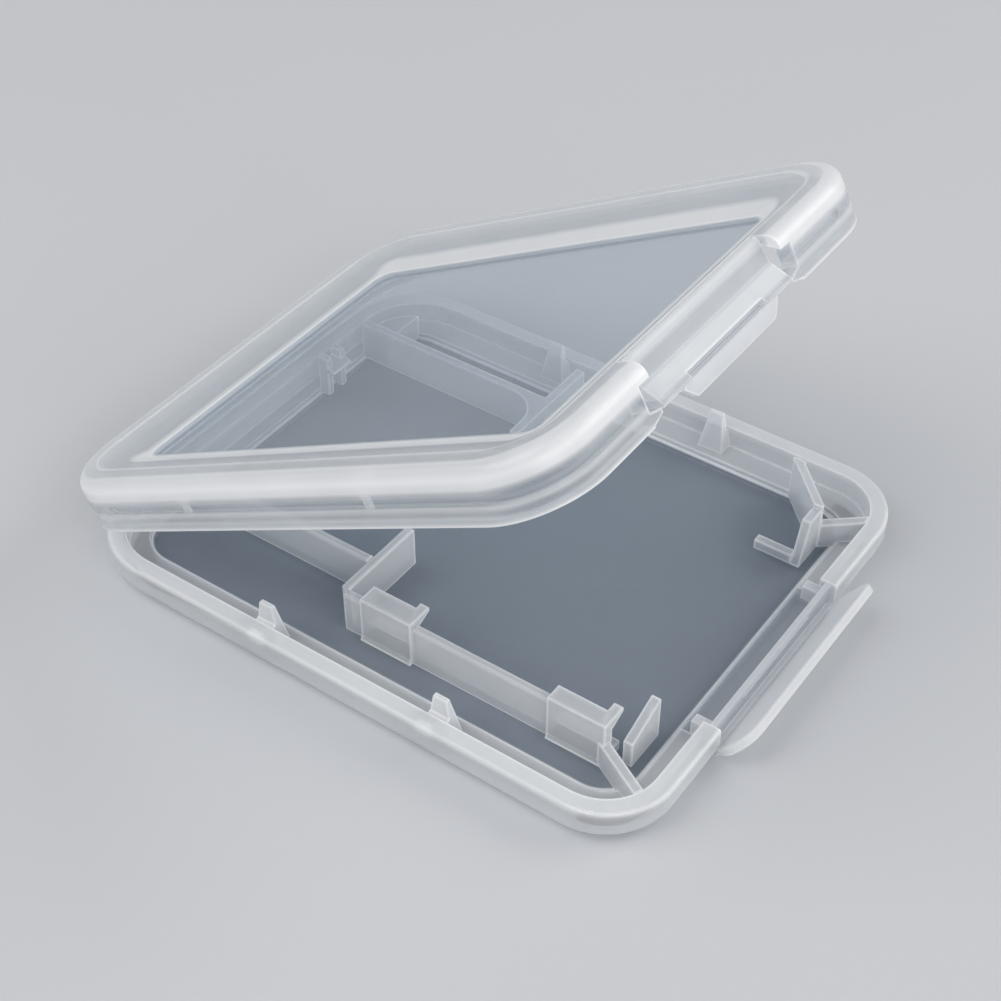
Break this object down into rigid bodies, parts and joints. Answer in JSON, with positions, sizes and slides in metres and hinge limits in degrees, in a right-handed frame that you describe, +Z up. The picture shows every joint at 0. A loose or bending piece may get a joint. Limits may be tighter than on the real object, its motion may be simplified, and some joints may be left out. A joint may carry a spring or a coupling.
{
  "type": "memory card case",
  "caption": "Clear hinged plastic case with a shallow tray, card bay walls and clips, a living hinge and a snap latch, shown part open.",
  "frame": {"origin": "centre of the base's flat underside", "axes": "+X from the hinge to the latch, +Y along the hinge to the far side, +Z up"},
  "size_m": [0.0584, 0.0446, 0.033],
  "materials": {
    "milky_wall": "translucent moulded polypropylene",
    "milky_latch": "translucent moulded polypropylene, thicker",
    "clear_floor": "thin clear polypropylene panel",
    "clear_lid": "thin clear polypropylene panel"
  },
  "bodies": {
    "base": {"base_shell": "milky_wall", "base_floor": "clear_floor", "latch_keeper": "clear_floor", "thumb_tab": "milky_wall", "latch_end_blocks": "milky_latch", "side_wall": "milky_wall", "rear_card_clip": "milky_wall", "front_card_clip": "milky_wall", "near_step_wall": "milky_wall", "near_rear_wall": "milky_wall", "far_rear_wall": "milky_wall", "corner_key": "milky_wall", "near_end_stop": "milky_wall", "far_end_stop": "milky_wall", "near_corner_brace": "milky_wall", "far_corner_brace": "milky_wall", "rear_corner_brace": "milky_wall", "rear_post_clip": "milky_wall", "guide_fins": "milky_wall", "base_hinge_leaf": "milky_wall"},
    "lid": {"lid_frame": "milky_wall", "lid_window": "clear_lid", "lid_side_ribs": "milky_latch", "lid_hinge_leaf": "milky_wall"},
    "latch": {"latch_tongue": "milky_latch", "latch_lip": "milky_latch"}
  },
  "joints": [
    {"name": "lid_hinge", "type": "hinge", "parent": "base", "child": "lid", "pos_m": [-0.02735, 0, 0.00326], "axis": [0, -1, 0], "range_deg": [-28.8, 151.2]},
    {"name": "latch_flex", "type": "hinge", "parent": "lid", "child": "latch", "pos_m": [0.01674, 0, 0.03213], "axis": [0, -1, 0], "range_deg": [0, 6], "stiffness_Nm_per_rad": 0.05}
  ]
}
